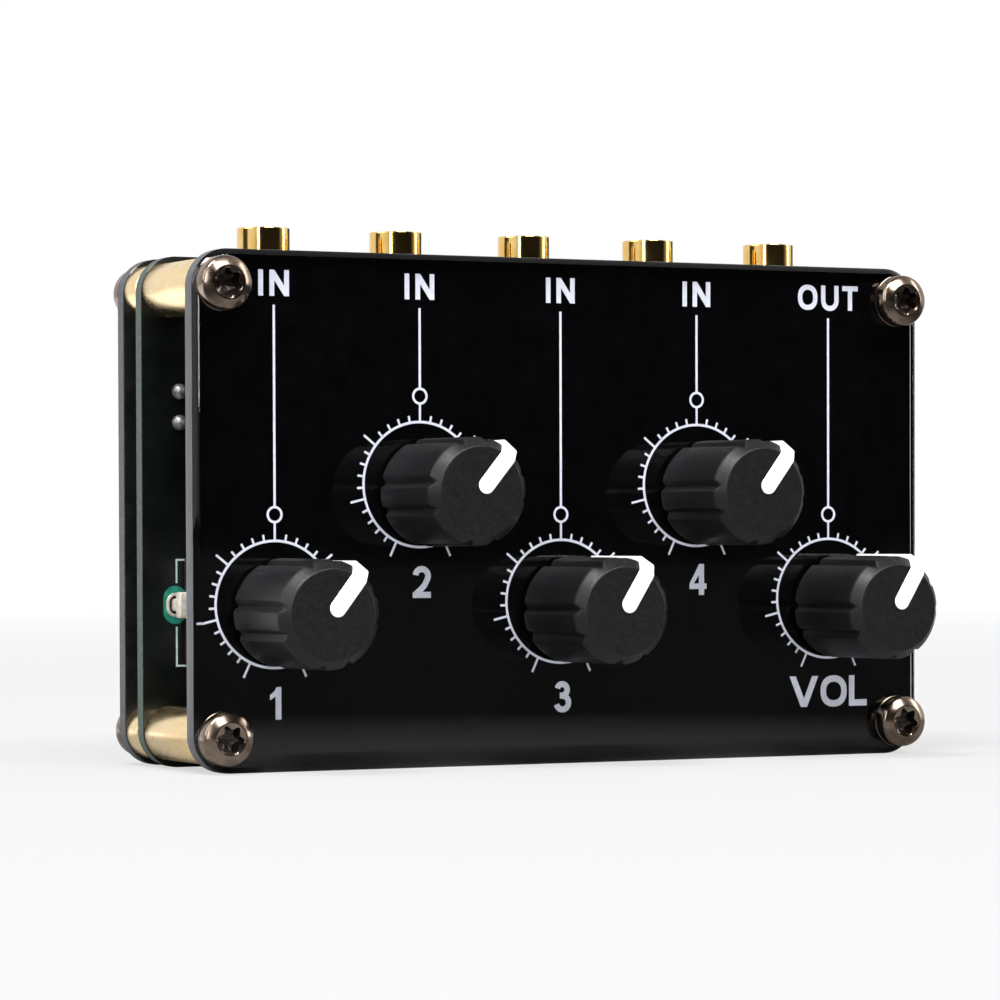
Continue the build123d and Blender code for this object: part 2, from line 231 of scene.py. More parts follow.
BLACK_NICKEL = finish_of("black_nickel", (0.19, 0.142, 0.108), (0.31, 0.24, 0.19), (0.14, 0.26), metal=1.0,
                         scale=750, bump=0.14, bump_scale=2200)
# darker copy of the black nickel for the inside of the drive recess: painted shade
DRIVE_PAINTED_SHADE = finish_of("drive_recess_painted_shade", (0.055, 0.045, 0.04), (0.12, 0.10, 0.09), (0.28, 0.42), metal=1.0,
                       scale=900, bump=0.25, bump_scale=2600)
KNOB_BLACK = finish_of("knob_soft_black", (0.0042, 0.0036, 0.0044), (0.0090, 0.0079, 0.0091), (0.36, 0.46),
                       scale=4200, bump=0.4, bump_scale=6500, depth=0.00003, Specular_IOR_Level=0.32)
POINTER = finish_of("pointer_white", (0.80, 0.81, 0.82), (0.90, 0.90, 0.90), (0.32, 0.45), scale=700,
                    bump=0.1, bump_scale=6000)
SHAFT = finish_of("shaft_turned", (0.55, 0.55, 0.56), (0.70, 0.70, 0.71), (0.2, 0.34), metal=1.0,
                  stretch=(0.12, 9, 0.12), scale=500, bump=0.3, bump_scale=900, bump_stretch=(0.1, 12, 0.1))
TINPLATE = finish_of("tinplate", (0.46, 0.46, 0.47), (0.62, 0.62, 0.62), (0.24, 0.4), metal=1.0,
                     stretch=(1, 1, 6), scale=300, bump=0.15, bump_scale=1500)
SOLDER = finish_of("solder", (0.60, 0.60, 0.60), (0.80, 0.80, 0.79), (0.12, 0.3), metal=1.0, scale=1500,
                   bump=0.3, bump_scale=2600)
TIN_FROSTED = finish_of("tin_frosted", (0.62, 0.56, 0.48), (0.86, 0.80, 0.71), (0.34, 0.5), metal=0.4,
                        scale=1700, bump=0.3, bump_scale=3400)
TIN_DULL = finish_of("tin_dull", (0.20, 0.195, 0.20), (0.42, 0.41, 0.42), (0.3, 0.45), metal=0.75, scale=1500,
                     bump=0.3, bump_scale=2600)
PHENOLIC = finish_of("phenolic", (0.012, 0.007, 0.004), (0.026, 0.015, 0.008), (0.45, 0.6), stretch=(1, 6, 1),
                     scale=900, bump=0.3, bump_scale=3000)
CARBON = finish_of("carbon_film", (0.012, 0.012, 0.012), (0.03, 0.03, 0.03), (0.5, 0.7), scale=2200, bump=0.3,
                   bump_scale=6000)
MOULDING = finish_of("moulded_black", (0.010, 0.010, 0.011), (0.018, 0.018, 0.020), (0.34, 0.5), scale=900,
                     bump=0.25, bump_scale=5000, depth=0.00003)
GOLD = finish_of("gold_plated", (0.86, 0.54, 0.15), (0.97, 0.67, 0.25), (0.07, 0.16), metal=1.0, scale=500,
                 bump=0.16, bump_scale=1500)
GLAZE = finish_of("resistor_glaze", (0.012, 0.012, 0.014), (0.03, 0.03, 0.034), (0.15, 0.3), scale=1600,
                  bump=0.2, bump_scale=3000)

# ---------------------------------------------------------------- mesh building


class Shape:
    """Collects closed shells, in millimetres, into one mesh."""

    def __init__(self):
        self.points, self.faces, self.slots = [], [], []

    def add(self, points, faces, slot=0):
        """One shell; faces count from its own first point."""
        start = len(self.points)
        self.points += [tuple(p) for p in points]
        self.faces += [tuple(start + i for i in face) for face in faces]
        self.slots += [slot] * len(faces)

    def loft(self, rings, slot=0, slots=None, caps=(True, True)):
        """Shell through rings of equal count; a ring of one point closes to a tip."""
        index = []
        for ring in rings:
            index.append(list(range(len(self.points), len(self.points) + len(ring))))
            self.points += [tuple(p) for p in ring]
        for k in range(len(rings) - 1):
            a, b = index[k], index[k + 1]
            count = max(len(a), len(b))
            use = slots[k] if slots else slot
            for i in range(count):
                j = (i + 1) % count
                face = []
                for v in (a[i % len(a)], a[j % len(a)], b[j % len(b)], b[i % len(b)]):
                    if v not in face:
                        face.append(v)
                self.faces.append(tuple(face))
                self.slots.append(use)
        for end, ring in ((0, index[0]), (1, index[-1])):
            if caps[end] and len(ring) > 2:
                self.faces.append(tuple(ring))
                self.slots.append(slots[-end] if slots else slot)

    def lathe(self, profile, centre, along="y", segments=64, slot=0, slots=None, out=1, turn=None):
        """Solid of revolution; profile is (radius, height), and turn(angle, radius) may reshape a radius."""
        rings = []
        for radius, height in profile:
            ring = []
            for i in range(segments if radius > 1e-6 else 1):
                angle = 2 * pi * i / segments
                r = turn(angle, radius) if turn and radius > 1e-6 else radius
                a, b = r * cos(angle), r * sin(angle)
                if along == "y":
                    ring.append((centre[0] + a, centre[1] + out * height, centre[2] + b))
                else:
                    ring.append((centre[0] + a, centre[1] + b, centre[2] + out * height))
            rings.append(ring)
        self.loft(rings, slot, slots, caps=(False, False))

    def prism(self, outline, low, high, slot=0, holes=()):
        """Flat sheet with holes, from y = low to y = high, outlines given as (x, z)."""
        loops = [outline, *holes]
        flat = [p for loop in loops for p in loop]
        triangles = tessellate_polygon([[Vector((x, z, 0)) for x, z in loop] for loop in loops])
        count = len(flat)
        self.add([(x, low, z) for x, z in flat] + [(x, high, z) for x, z in flat],
                 list(triangles) + [tuple(count + i for i in t) for t in triangles], slot)
        base = len(self.points) - 2 * count
        step = 0
        for loop in loops:
            n = len(loop)
            for i in range(n):
                a, b = base + step + i, base + step + (i + 1) % n
                self.faces.append((a, b, b + count, a + count))
                self.slots.append(slot)
            step += n

    def plate(self, levels, holes, face_slot=0, edge_slot=1, hole_rim=0.12):
        """Rounded plate; levels are (inset, y), front to back; a hole gives its outline grown by a rim."""
        outline = [[(x, y, z) for x, z in rounded(WIDTH - 2 * inset, HEIGHT - 2 * inset, CORNER - inset)]
                   for inset, y in levels]
        first, last = levels[0][1], levels[-1][1]
        loops_front = [[(p[0], p[2]) for p in outline[0]]]
        loops_back = [[(p[0], p[2]) for p in outline[-1]]]
        walls = []
        for make in holes:
            wall = [[(x, y, z) for x, z in make(grow)] for grow, y in
                    ((hole_rim, first), (0, first + hole_rim), (0, last - hole_rim), (hole_rim, last))]
            walls.append(wall)
            loops_front.append([(p[0], p[2]) for p in wall[0]])
            loops_back.append([(p[0], p[2]) for p in wall[-1]])
        for loops, y in ((loops_front, first), (loops_back, last)):
            flat = [(x, y, z) for loop in loops for x, z in loop]
            triangles = tessellate_polygon([[Vector((x, z, 0)) for x, z in loop] for loop in loops])
            self.add(flat, triangles, face_slot)
        kinds = [face_slot if abs(levels[i][0] - levels[i + 1][0]) > 1e-6 else edge_slot
                 for i in range(len(levels) - 1)]
        self.loft(outline, slots=kinds + [face_slot], caps=(False, False))
        for wall in walls:
            self.loft(wall, slot=edge_slot, caps=(False, False))

    def box(self, low, high, round_by=0.2, slot=0, steps=3):
        """Box with rounded edges."""
        build = bmesh.new()
        bmesh.ops.create_cube(build, size=1.0)
        for v in build.verts:
            v.co = Vector([(low[i] + high[i]) / 2 + v.co[i] * (high[i] - low[i]) for i in range(3)])
        bmesh.ops.bevel(build, geom=build.edges[:], offset=round_by, segments=steps, profile=0.5,
                        affect="EDGES")
        build.verts.index_update()
        faces = [tuple(v.index for v in f.verts) for f in build.faces]
        self.add([tuple(v.co) for v in build.verts], faces, slot)
        build.free()

    def make(self, name, materials, body, slot, stands_for=(), angle=32.0, weld=True):
        """Turns the shells into one object that rides on a body."""
        mesh = bpy.data.meshes.new(name)
        mesh.from_pydata([(x / 1000, y / 1000, z / 1000) for x, y, z in self.points], [], self.faces)
        mesh.polygons.foreach_set("material_index", self.slots)
        build = bmesh.new()
        build.from_mesh(mesh)
        if weld:
            bmesh.ops.remove_doubles(build, verts=build.verts, dist=2e-7)
        bmesh.ops.dissolve_degenerate(build, edges=build.edges, dist=1e-8)
        bmesh.ops.recalc_face_normals(build, faces=build.faces)
        build.to_mesh(mesh)
        build.free()
        mesh.polygons.foreach_set("use_smooth", [True] * len(mesh.polygons))
        mesh.set_sharp_from_angle(angle=radians(angle))
        for mat in materials if isinstance(materials, (list, tuple)) else [materials]:
            mesh.materials.append(mat)
        thing = bpy.data.objects.new(name, mesh)
        bpy.context.scene.collection.objects.link(thing)
        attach(thing, body)
        if stands_for:
            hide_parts(*stands_for)
        return thing


def rounded(width, height, radius, centre=(0.0, None), steps=14):
    """Rounded rectangle as (x, z) points, counter-clockwise."""
    cx, cz = centre[0], HEIGHT / 2 if centre[1] is None else centre[1]
    points = []
    for k, (sx, sz) in enumerate(((1, 1), (-1, 1), (-1, -1), (1, -1))):
        for i in range(steps + 1):
            angle = pi / 2 * (k + i / steps)
            points.append((cx + sx * (width / 2 - radius) + radius * cos(angle),
                           cz + sz * (height / 2 - radius) + radius * sin(angle)))
    return points


def circle(x, z, radius, steps=48):
    """Circle as (x, z) points, counter-clockwise."""
    angles = [2 * pi * i / steps for i in range(steps)]
    return [(x + radius * cos(a), z + radius * sin(a)) for a in angles]


def slot_hole(x, z, width, length, steps=12):
    """Upright slot outline."""
    r = width / 2
    points = []
    for side, start in ((1, 0.0), (-1, pi)):
        for i in range(steps + 1):
            angle = start + pi * i / steps
            points.append((x + r * cos(angle), z + side * (length / 2 - r) + r * sin(angle)))
    return points


def arc(cx, cy, radius, start, stop, steps):
    """Points on an arc, angles in degrees."""
    return [(cx + radius * cos(radians(start + (stop - start) * i / steps)),
             cy + radius * sin(radians(start + (stop - start) * i / steps))) for i in range(steps + 1)]


def eased(points, reaches, steps=5):
    """Polyline with eased corners; reaches says how far from each inner point the easing starts."""
    out = [points[0]]
    for k in range(1, len(points) - 1):
        p, a, b = Vector(points[k]), Vector(points[k - 1]), Vector(points[k + 1])
        reach = reaches[k - 1]
        if reach <= 0:
            out.append(tuple(p))
            continue
        u, v = (a - p).normalized() * reach, (b - p).normalized() * reach
        for i in range(steps + 1):
            t = i / steps
            q = p + u * (1 - t) ** 2 + v * t ** 2
            out.append((q.x, q.y))
    out.append(points[-1])
    return out


# ---------------------------------------------------------------- plates

SCREW_HOLE_R, SHAFT_HOLE_R = 1.6, 3.7
PRINT_DEPTH = 0.06
PRINT_FRONT = BACK - PRINT_DEPTH
screw_holes = [lambda grow, p=p: circle(p[0], p[1], SCREW_HOLE_R + grow) for p in SCREWS]
shaft_holes = [lambda grow, k=k: circle(k[1], k[2], SHAFT_HOLE_R + grow, 72) for k in KNOBS]

panel = Shape()
panel.plate([(0.66, FRONT), (0.60, FRONT + 0.02), (0.04, FRONT + 0.58), (0.0, FRONT + 0.66),
             (0.0, PRINT_FRONT), (PRINT_DEPTH, BACK)], screw_holes + shaft_holes)
panel.make("panel_clear", [ACRYLIC, ACRYLIC_EDGE], "chassis", "clear_acrylic", ["front_panel"])

# the black print is keyed into the panel's back; the thin black wall inside the panel's edge is painted
# shade, a dark sheet that keeps the edge dark
black_print_and_shade_wall = Shape()
black_print_and_shade_wall.prism(rounded(WIDTH - 0.36, HEIGHT - 0.36, CORNER - 0.18), PRINT_FRONT, PRINT_BACK,
          holes=[circle(x, z, SCREW_HOLE_R + 0.1) for x, z in SCREWS]
          + [circle(k[1], k[2], SHAFT_HOLE_R + 0.2, 72) for k in KNOBS])
# painted shade: a thin black wall just inside the clear edge keeps the edge dark
black_print_and_shade_wall.prism(rounded(WIDTH - 0.10, HEIGHT - 0.10, CORNER - 0.05), FRONT + 0.70, PRINT_FRONT - 0.01,
          holes=[rounded(WIDTH - 0.30, HEIGHT - 0.30, CORNER - 0.15)])
black_print_and_shade_wall.make("print_black_and_painted_edge_shade", INK_BLACK_AND_EDGE_SHADE, "chassis", "black_ink", ["back_print"])

PIN_PITCH, PIN_DROP = 2.5, 4.9
LUG_OUT, LUG_RISE = 5.95, 0.7
LUG_SLOT_W, LUG_SLOT_H = 1.5, 2.1
pot_pins = [(x + i * PIN_PITCH, z - PIN_DROP) for _, x, z, _ in KNOBS for i in (-1, 0, 1)]
lugs = [(x + side * LUG_OUT, z + LUG_RISE) for _, x, z, _ in KNOBS for side in (-1, 1)]
lug_slots = [lambda grow, p=p: slot_hole(*p, LUG_SLOT_W + 2 * grow, LUG_SLOT_H + 2 * grow) for p in lugs]


def thin_plate(front, back, rim):
    """Levels of a sheet whose edges are broken by the rim."""
    return [(rim, front), (0.0, front + rim), (0.0, back - rim), (rim, back)]


board = Shape()
board.plate(thin_plate(BOARD_FRONT, BOARD_BACK, 0.05), screw_holes + lug_slots, hole_rim=0.05)
board.make("board_laminate", [MASK, LAMINATE], "chassis", "board_laminate", ["circuit_board"])

rear = Shape()
rear.plate(thin_plate(REAR_FRONT, REAR_BACK, 0.08), screw_holes, hole_rim=0.05)
rear.make("rear_laminate", [LACQUER, LAMINATE_GREY], "chassis", "rear_laminate", ["rear_panel"])

# ---------------------------------------------------------------- legend on the panel's back

legend = Shape()
layer = {"count": 0}
LAYERS, LAYER_STEP, LEGEND_PROUD = 12, 0.0012, 0.012
LEGEND_BACK = PRINT_FRONT + 0.02


def ink_patch(outline, holes=()):
    """One island of the legend; it stands a hair prouder than the one before, so overlaps don't coincide."""
    layer["count"] = (layer["count"] + 1) % LAYERS
    front = PRINT_FRONT - LEGEND_PROUD - LAYER_STEP * layer["count"]
    legend.prism(outline, front, LEGEND_BACK, holes=holes)


def bar(x0, z0, x1, z1, width):
    """Straight stroke with square ends."""
    length = hypot(x1 - x0, z1 - z0)
    nx, nz = -(z1 - z0) / length * width / 2, (x1 - x0) / length * width / 2
    ink_patch([(x0 + nx, z0 + nz), (x0 - nx, z0 - nz), (x1 - nx, z1 - nz), (x1 + nx, z1 + nz)])


def stroke(path, width):
    """Curved stroke of constant width along an open path."""
    left, right = [], []
    for i, (x, z) in enumerate(path):
        a, b = path[max(i - 1, 0)], path[min(i + 1, len(path) - 1)]
        dx, dz = b[0] - a[0], b[1] - a[1]
        size = hypot(dx, dz)
        nx, nz = -dz / size * width / 2, dx / size * width / 2
        left.append((x + nx, z + nz))
        right.append((x - nx, z - nz))
    ink_patch(left + right[::-1])


def squared_oval(x, z, h, w, inset, steps=56, square=0.88, overshoot=0.012):
    """Outline of the letter O, a little squarer than an ellipse and a hair taller than its neighbours."""
    points = []
    for i in range(steps):
        t = 2 * pi * i / steps
        across, up = (abs(v) ** square * (1 if v > 0 else -1) for v in (cos(t), sin(t)))
        points.append((x + w / 2 + (w / 2 - inset) * across,
                       z + h / 2 + (h / 2 + overshoot * h - inset) * up))
    return points


def glyph(kind, x, z, h, w, s):
    """One upright letter or digit: lower left corner, height, width and stroke."""
    if kind == "I":
        bar(x + s / 2, z, x + s / 2, z + h, s)
    elif kind == "L":
        ink_patch([(x, z), (x + w, z), (x + w, z + s), (x + s, z + s), (x + s, z + h), (x, z + h)])
    elif kind == "T":
        m = x + w / 2
        ink_patch([(m - s / 2, z), (m + s / 2, z), (m + s / 2, z + h - s), (x + w, z + h - s), (x + w, z + h),
                   (x, z + h), (x, z + h - s), (m - s / 2, z + h - s)])
    elif kind == "N":
        d = 0.40 * h
        ink_patch([(x, z), (x + s, z), (x + s, z + h - d), (x + w - s, z), (x + w, z), (x + w, z + h),
                   (x + w - s, z + h), (x + w - s, z + d), (x + s, z + h), (x, z + h)])
    elif kind == "V":
        a, t = s * 0.56, s * 1.12
        apex = h - h / (w / 2 - a) * (w / 2 - t)
        ink_patch([(x + w / 2 - a, z), (x + w / 2 + a, z), (x + w, z + h), (x + w - t, z + h),
                   (x + w / 2, z + apex), (x + t, z + h), (x, z + h)])
    elif kind == "U":
        r = w / 2
        outer = arc(x + r, z + r * 0.92, r, 180, 360, 20)
        inner = arc(x + r, z + r * 0.92, r - s, 0, -180, 20)
        raised = [(px, pz + (0.08 * r if pz > z + r else 0)) for px, pz in outer]
        ink_patch([(x, z + h)] + raised + [(x + w, z + h), (x + w - s, z + h)] + inner + [(x + s, z + h)])
    elif kind == "O":
        ink_patch(squared_oval(x, z, h, w, 0), [squared_oval(x, z, h, w, s)])
    elif kind == "1":
        e = x + w * 0.80
        ink_patch([(e - s, z), (e, z), (e, z + h), (e - s * 0.82, z + h), (e - s * 1.15, z + h * 0.88),
                   (x + w * 0.06, z + h * 0.76), (x + w * 0.06, z + h * 0.60), (e - s, z + h * 0.715)])
    elif kind == "2":
        r = w / 2 - s / 2
        top = z + h - s / 2 - r
        path = arc(x + w / 2, top, r, 172, -28, 22)
        path += [(x + w * 0.66, z + h * 0.40), (x + w * 0.42, z + h * 0.25), (x + s * 0.62, z + s * 0.72)]
        stroke(path, s)
        bar(x, z + s / 2, x + w, z + s / 2, s * 0.98)
    elif kind == "3":
        r1, r2 = w * 0.42 - s / 2 + 0.02 * w, w / 2 - s / 2
        up, low = z + h - s / 2 - r1, z + s / 2 + r2
        stroke(arc(x + w * 0.48, up, r1, 165, -88, 24), s)
        stroke(arc(x + w * 0.49, low, r2, 92, -166, 24), s)
        bar(x + w * 0.34, (up - r1 + low + r2) / 2, x + w * 0.56, (up - r1 + low + r2) / 2, s * 0.98)
    elif kind == "4":
        stem = x + w * 0.70
        bar(stem, z, stem, z + h, s)
        bar(x, z + h * 0.285, x + w, z + h * 0.285, s * 0.92)
        ink_patch([(x, z + h * 0.285 + s * 0.46), (x, z + h * 0.285 - s * 0.3), (x + s * 0.5, z + h * 0.285),
                   (stem, z + h * 0.80), (stem + s * 0.3, z + h), (stem - s * 0.42, z + h)])


def word(text, x, z, h, widths, s, gap):
    """Centres a word on x, its mid height on z."""
    total = sum(widths) + gap * (len(text) - 1)
    left = x - total / 2
    for letter, w in zip(text, widths):
        glyph(letter, left, z - h / 2, h, w, s)
        left += w + gap


DIAL_RISE = 0.87
RING, RING_HALF = 6.69, 0.135
TICKS, TICK_SWEEP = 30, 310.0
TICK_START, TICK_SHORT, TICK_LONG, TICK_WIDTH = RING + 0.05, RING + 0.75, RING + 1.75, 0.24
EYE_RISE, EYE_R, EYE_HOLE_R, EYE_STEM_R = 9.45, 0.92, 0.66, 0.75
STEM_TOP, TITLE_Z, TITLE_H, TITLE_STROKE = 49.1, 51.4, 2.75, 0.56
for name, x, z, _ in KNOBS:
    zc = z + DIAL_RISE
    eye = zc + EYE_RISE
    ink_patch(circle(x, zc, RING + RING_HALF, 120), [circle(x, zc, RING - RING_HALF, 120)])
    for k in range(TICKS + 1):
        angle = radians(TICK_SWEEP * (k / TICKS - 0.5))
        end = TICK_LONG if k % 5 == 0 else TICK_SHORT
        if k != TICKS // 2:
            bar(x + TICK_START * sin(angle), zc + TICK_START * cos(angle),
                x + end * sin(angle), zc + end * cos(angle), TICK_WIDTH)
    # a stem runs from the ring through a small eye up to the title
    bar(x, zc + TICK_START, x, eye - EYE_STEM_R, 0.25)
    ink_patch(circle(x, eye, EYE_R), [circle(x, eye, EYE_HOLE_R)])
    bar(x, eye + EYE_STEM_R, x, STEM_TOP, 0.27)
    if name == "volume":
        word("VOL", x, 7.15, 3.45, [3.75, 3.45, 2.35], 0.72, 0.30)
        word("OUT", x, TITLE_Z, TITLE_H, [2.55, 2.30, 2.05], TITLE_STROKE, 0.48)
    else:
        word(name, x + 0.15, zc - 10.42, 3.43, [1.75 if name == "1" else 2.15], 0.66, 0)
        word("IN", x, TITLE_Z, TITLE_H, [0.56, 2.25], TITLE_STROKE, 0.72)
legend.make("panel_legend", INK_LEGEND, "chassis", "pointer_white")

# ---------------------------------------------------------------- brass spacers

long_brass, short_brass = Shape(), Shape()
for x, z in SCREWS:
    length = BOARD_FRONT - PRINT_BACK
    long_brass.lathe([(1.5, 0), (2.72, 0), (2.86, 0.05), (2.9, 0.16), (2.9, length - 0.16),
                      (2.86, length - 0.05), (2.72, length), (1.5, length), (1.5, 0)],
                     (x, PRINT_BACK, z), segments=96)
    gap = REAR_FRONT - BOARD_BACK
    short_brass.lathe([(1.5, 0), (2.42, 0), (2.5, 0.05), (2.86, 0.46), (2.9, 0.56), (2.9, gap - 0.14),
                       (2.86, gap - 0.04), (2.76, gap), (1.5, gap), (1.5, 0)],
                      (x, BOARD_BACK, z), segments=96)
long_brass.make("standoffs_long", BRASS, "chassis", "spacer_brass", ["front_standoffs"])
short_brass.make("spacers_short", BRASS, "chassis", "spacer_brass", ["rear_spacers"])

# ---------------------------------------------------------------- screws


RECESS_R, LOBE_DEPTH, LOBE_SHARPNESS = 1.60, 0.31, 1.15


def star(angle, radius):
    """Six-lobe outline inside the drive, round outside it."""
    if radius > RECESS_R:
        return radius
    wave = 0.5 + 0.5 * cos(6 * angle)
    return radius * (1.0 - LOBE_DEPTH * (1 - wave ** LOBE_SHARPNESS))


RECESS_BANDS = 6
THREAD_R, THREAD_ROOT_R, THREAD_PITCH = 1.42, 1.30, 0.5


def screw_profile(shank):
    """Profile from the drive's floor over the head and down to the shank's tip, and each band's material."""
    drive = [(0, 0.62), (0.7, 0.66), (1.36, 0.80), (1.44, 0.90), (1.47, 1.1), (1.50, 2.22), (1.53, 2.30),
             (1.62, 2.37), (1.72, 2.40)]
    flat = [(1.80, 2.39), (1.88, 2.36)]
    bevel = [(2.58, 1.98), (2.68, 1.90), (2.76, 1.78), (2.82, 1.62), (2.85, 1.44)]
    skirt = [(2.85, 0.55), (2.83, 0.42), (2.77, 0.40), (2.77, 0.32), (2.85, 0.28), (2.85, 0.08), (2.79, 0.0)]
    neck = [(1.46, 0.0), (THREAD_R, -0.12)]
    thread = []
    depth = 0.12
    while depth < shank - 0.7:
        thread += [(THREAD_R, -depth), (THREAD_ROOT_R, -depth - 0.2), (THREAD_ROOT_R, -depth - 0.26),
                   (THREAD_R, -depth - 0.46)]
        depth += THREAD_PITCH
    tip = [(THREAD_ROOT_R, -shank + 0.15), (1.1, -shank), (0, -shank)]
    whole = drive + flat + bevel + skirt + neck + thread + tip
    # the first bands, the drive's floor and walls, take the darker drive colour: painted shade in the recess
    return whole, [1] * RECESS_BANDS + [0] * (len(whole) - 1 - RECESS_BANDS)


SCREW_TURNS = (7, 22, 12, 31)
for label, seat, out, shank in (("front", FRONT, -1, 6.9), ("rear", REAR_BACK, 1, 9.3)):
    profile, kinds = screw_profile(shank)
    heads = Shape()
    for (x, z), degrees_on in zip(SCREWS, SCREW_TURNS):
        heads.lathe(profile, (x, seat, z), segments=144, slots=kinds, out=out,
                    turn=lambda a, r, t=radians(degrees_on): star(a + t, r))
    heads.make(f"screws_{label}", [BLACK_NICKEL, DRIVE_PAINTED_SHADE], "chassis", "screw_black_nickel",
               [f"{label}_screws"], angle=40)

# ---------------------------------------------------------------- knobs, pointers and shafts

KNOB_GAP, KNOB_FACE = 0.65, 13.25
SHOULDER = 12.05
BASE_R, SHOULDER_R, FACE_R = 5.75, 5.70, 4.72
NOTCH_DEPTH, NOTCH_HALF_WIDTH, NOTCH_FROM_DIAGONAL = 0.56, 0.58, 15.5
NOTCH_SLOPE, NOTCH_ROUND, NOTCH_REACH, LIP_BLEND = 1.02 * NOTCH_DEPTH / NOTCH_HALF_WIDTH, 0.1, 1.6, 0.05
SEAT_R, SEAT_DEPTH = 3.05, 9.3
POCKET_IN_R, POCKET_OUT_R, POCKET_DEPTH = 3.9, 4.5, 8.9
FACE_FLAT_R, FACE_RINGS = 3.6, 9


def groove(angle, radius):
    """Radius of the knob's side where the eight notches cut it, rounded at their lips."""
    notch = 2 * BASE_R
    for quarter in range(4):
        for side in (-1, 1):
            centre = radians(45 + 90 * quarter + side * NOTCH_FROM_DIAGONAL)
            off = (angle - centre + pi) % (2 * pi) - pi
            across = abs(off) * BASE_R
            if across < NOTCH_REACH:
                rise = NOTCH_SLOPE * (sqrt(across * across + NOTCH_ROUND ** 2) - NOTCH_ROUND)
                notch = min(notch, BASE_R - NOTCH_DEPTH + rise)
    gap = notch - radius
    if abs(gap) > LIP_BLEND:
        return min(radius, notch)
    return radius - (LIP_BLEND - gap) ** 2 / (4 * LIP_BLEND)


def knob_mesh(name, x, z, clock):
    """Knob with notched side, bevelled crown, skirt pocket and bore, turned to its pointer."""
    outer = eased([(4.6, KNOB_GAP), (BASE_R, KNOB_GAP), (SHOULDER_R, SHOULDER), (FACE_R, KNOB_FACE),
                   (FACE_FLAT_R, KNOB_FACE)], [0.22, 0.26, 0.12], 5)
    side = []
    for a, b in zip(outer, outer[1:]):
        steps = max(1, int(hypot(b[0] - a[0], b[1] - a[1]) / 0.28)) if 1 < b[1] < KNOB_FACE + 0.05 else 1
        if b[1] - a[1] > 3:
            steps = 14
        side += [(a[0] + (b[0] - a[0]) * i / steps, a[1] + (b[1] - a[1]) * i / steps) for i in range(steps)]
    side.append(outer[-1])
    face = [(FACE_FLAT_R * k / FACE_RINGS, KNOB_FACE) for k in range(FACE_RINGS - 1, -1, -1)]
    pocket = [(SEAT_R, SEAT_DEPTH), (SEAT_R, 0.95), (3.2, KNOB_GAP), (3.8, KNOB_GAP), (POCKET_IN_R, 0.75),
              (POCKET_IN_R, POCKET_DEPTH), (POCKET_OUT_R, POCKET_DEPTH), (POCKET_OUT_R, 0.75)]
    turn = radians(90 - clock)

    def reshape(angle, radius):
        """Notches the outer side and leaves the inner walls round."""
        return groove(angle - turn, radius) if radius > 4.7 else radius

    shape = Shape()
    shape.lathe([(0, SEAT_DEPTH)] + pocket + side + face, (x, FRONT, z), segments=288, out=-1, turn=reshape)
    shape.make(f"knob_body_{name}", KNOB_BLACK, f"control_{name}", "knob_soft_black", [f"knob_{name}"],
               angle=28)


POINTER_TOP, POINTER_SHOULDER = KNOB_FACE + 0.11, 12.0
POINTER_START, POINTER_EDGE_R, POINTER_SIDE_R, POINTER_ROOT_R = -0.08, 4.86, 6.35, 5.1
POINTER_HALF, POINTER_SUNK, POINTER_LIP = 0.93, 0.8, 0.16


def pointer_mesh(name, x, z, clock):
    """White insert: a rounded bar over the face that follows the crown and runs down the side."""
    # outer line and the sunk line under it, as (radius, height), with the half width at each outer point
    path = []
    for i in range(13):
        phi = pi / 2 * i / 12
        path.append((POINTER_START + POINTER_HALF * (1 - cos(phi)), POINTER_TOP, POINTER_HALF * sin(phi)))
    inner = [(p[0], POINTER_TOP - POINTER_SUNK) for p in path]
    line = eased([(1.6, POINTER_TOP), (POINTER_EDGE_R, POINTER_TOP), (POINTER_SIDE_R, POINTER_SHOULDER),
                  (POINTER_SIDE_R, KNOB_GAP + 0.06)], [0.3, 0.42], 6)
    bend_end = POINTER_SHOULDER - 0.45
    for r, h in line:
        path.append((r, h, POINTER_HALF))
        if h > bend_end:
            share = (POINTER_TOP - h) / (POINTER_TOP - bend_end)
            inner.append((min(r, 4.55 + 0.5 * share), h - POINTER_SUNK))
        else:
            inner.append((POINTER_ROOT_R, h))
    for h in (9.0, 5.0, 1.2):
        path.insert(-1, (POINTER_SIDE_R, h, POINTER_HALF))
        inner.insert(-1, (POINTER_ROOT_R, h))
    turn = radians(clock)
    rings = []
    for (r, h, w), (ri, hi) in zip(path, inner):
        outward = Vector((r - ri, h - hi)).normalized()
        w = max(w, 0.02)
        lip = min(POINTER_LIP, w * 0.6)
        quarter = [(lip * (1 - cos(t)), lip * (1 - sin(t))) for t in (0.4, 0.8, 1.2, pi / 2)]
        section = [(-w, None), (-w, lip)]
        section += [(-w + across, down) for across, down in quarter]
        section += [(w - across, down) for across, down in reversed(quarter)]
        section += [(w, lip), (w, None)]
        ring = []
        for across, down in section:
            pr, ph = (ri, hi) if down is None else (r - outward.x * down, h - outward.y * down)
            ring.append((x + pr * sin(turn) + across * cos(turn), FRONT - ph,
                         z + pr * cos(turn) - across * sin(turn)))
        rings.append(ring)
    shape = Shape()
    shape.loft(rings)
    shape.make(f"pointer_insert_{name}", POINTER, f"control_{name}", "pointer_white", [f"pointer_{name}"],
               angle=40)


SHAFT_R = 3.0


